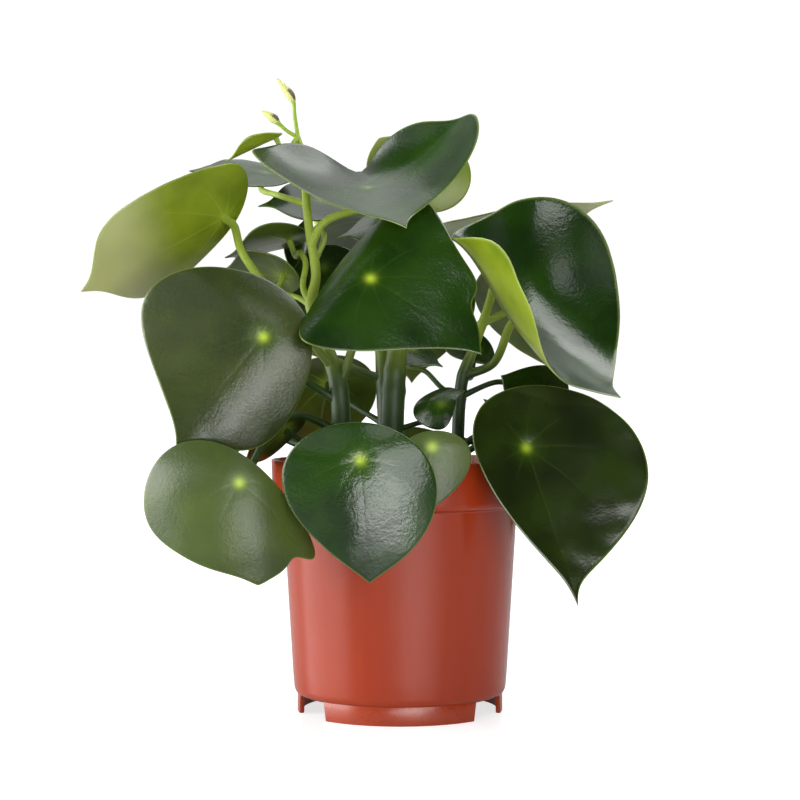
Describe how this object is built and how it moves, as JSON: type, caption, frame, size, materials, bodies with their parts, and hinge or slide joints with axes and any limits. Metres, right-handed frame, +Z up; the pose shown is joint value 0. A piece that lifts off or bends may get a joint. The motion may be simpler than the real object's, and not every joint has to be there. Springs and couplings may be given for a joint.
{
  "type": "potted peperomia",
  "caption": "Leafy peperomia house plant with round pointed glossy leaves on upright stems, growing in a plastic nursery pot filled with soil.",
  "frame": {"origin": "centre of the flat pad under the pot, on the surface that it stands on", "axes": "+Z up, -Y towards the front of the picture, +X to the right"},
  "size_m": [0.2557, 0.1869, 0.2958],
  "materials": {
    "leaf": "glossy fleshy leaf, dark green above and yellow-green below",
    "stem": "smooth juicy green stem",
    "pot": "thin glossy terracotta-coloured plastic",
    "soil": "loose dark potting compost"
  },
  "bodies": {
    "root": {"pot": "pot", "soil": "soil", "stem_left": "stem", "stem_middle": "stem", "stem_right": "stem", "stem_back": "stem", "leaf_crown": "leaf", "leaf_left_high": "leaf", "leaf_left_front": "leaf", "leaf_left_low": "leaf", "leaf_front_low": "leaf", "leaf_front_small": "leaf", "leaf_right_cupped": "leaf", "leaf_right_low": "leaf", "leaf_right_back": "leaf", "leaf_middle": "leaf", "leaf_crown_back": "leaf", "leaf_young": "leaf", "leaf_left_upper": "leaf", "leaf_under_crown": "leaf", "leaf_hooked": "leaf", "leaf_left_roof": "leaf", "leaf_left_inner": "leaf", "leaf_left_upright": "leaf", "leaf_shaded": "leaf", "leaf_right_hidden": "leaf", "leaf_right_tucked": "leaf", "leaf_under_middle": "leaf", "leaf_inner_small": "leaf", "leaf_left_tucked": "leaf", "leaf_inner_low": "leaf", "leaf_back_high": "leaf", "leaf_back_middle": "leaf", "leaf_back_left": "leaf", "leaf_back_right": "leaf", "leaf_back_low": "leaf", "leaf_back_inner": "leaf", "leaf_side_left": "leaf", "leaf_side_right": "leaf"}
  },
  "joints": []
}
